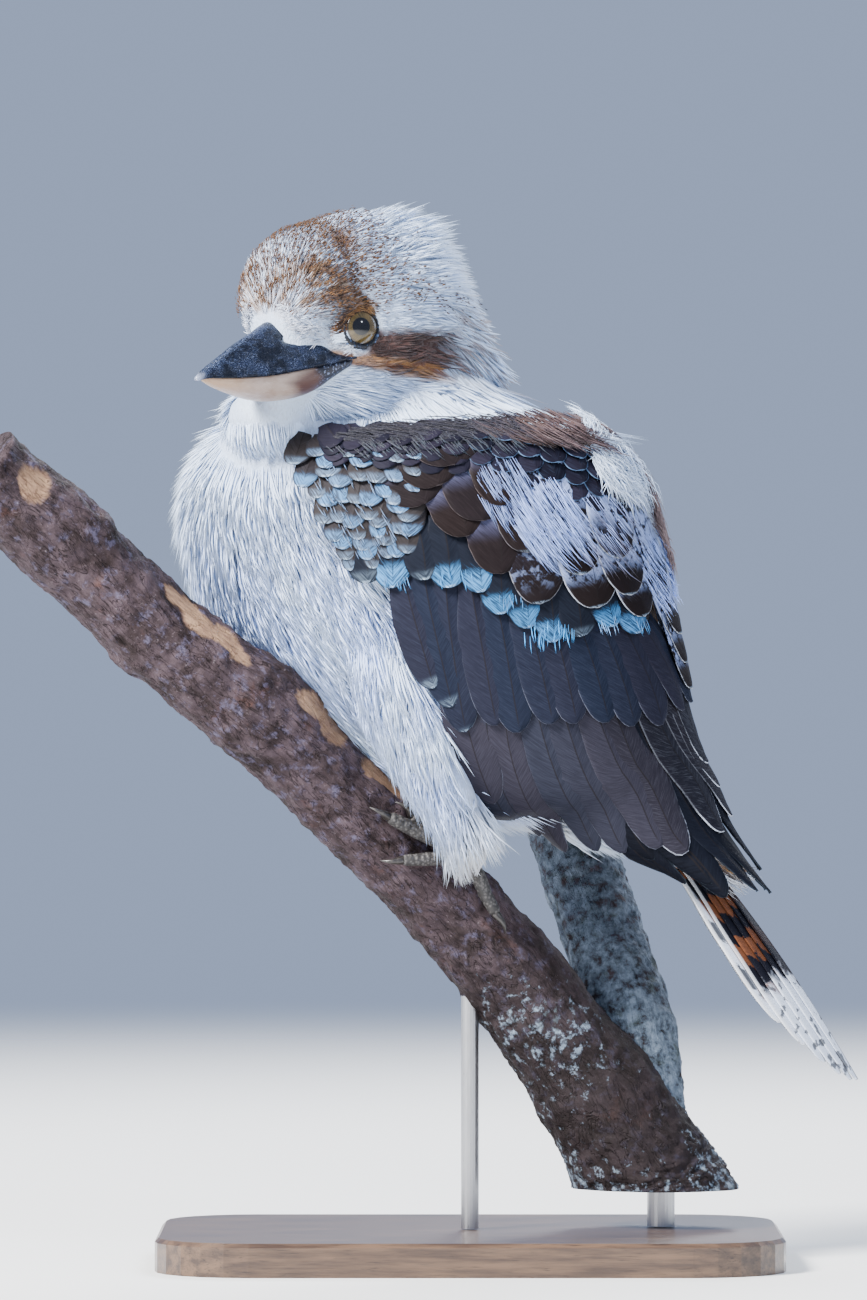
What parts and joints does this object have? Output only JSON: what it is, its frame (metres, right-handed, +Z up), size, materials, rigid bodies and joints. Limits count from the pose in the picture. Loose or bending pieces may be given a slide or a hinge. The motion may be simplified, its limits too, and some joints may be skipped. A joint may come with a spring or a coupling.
{
  "type": "laughing kookaburra model",
  "caption": "Life-size laughing kookaburra resting fluffed up on a forked branch, head turned to one side, held by a plain display stand.",
  "frame": {"origin": "centre of the underside of the stand's base, on the floor", "axes": "+Z up. The bird's body faces -X and its left side faces -Y; its head is turned towards -Y. The tail points to +X and down."},
  "size_m": [0.3246, 0.1707, 0.3856],
  "materials": {
    "crown_plumage": "soft white feathers, speckled brown and rufous on the crown, with a dark brown stripe behind the eye",
    "white_plumage": "soft loose white and grey-white feathers",
    "wing_plumage": "smooth dark brown and slate-blue feathers with pale edges and pale blue tips",
    "tail_plumage": "rufous feathers barred with black, with white outer edges and tips",
    "bill_black": "hard blue-black horn, glossy and finely scratched",
    "bill_horn": "pale horn, darker at its base",
    "eye_brown": "clear wet brown eye with a black pupil",
    "foot_scales": "grey-olive scaly skin with dark claws",
    "bark": "rough red-brown bark with bare tan patches and dark cracks",
    "lichened_bark": "rough bark with grey-green lichen",
    "stand_wood": "dark satin varnish",
    "stand_steel": "brushed"
  },
  "bodies": {
    "root": {"head": "crown_plumage", "neck": "white_plumage", "torso": "white_plumage", "tail": "tail_plumage", "wing_left": "wing_plumage", "wing_right": "wing_plumage", "thigh_left": "white_plumage", "thigh_right": "white_plumage", "foot_left": "foot_scales", "foot_right": "foot_scales", "bill_upper": "bill_black", "bill_lower": "bill_horn", "eye_left": "eye_brown", "eye_right": "eye_brown", "perch_branch": "bark", "perch_fork": "lichened_bark", "stand_base": "stand_wood", "stand_pin": "stand_steel", "stand_rod": "stand_steel"}
  },
  "joints": []
}
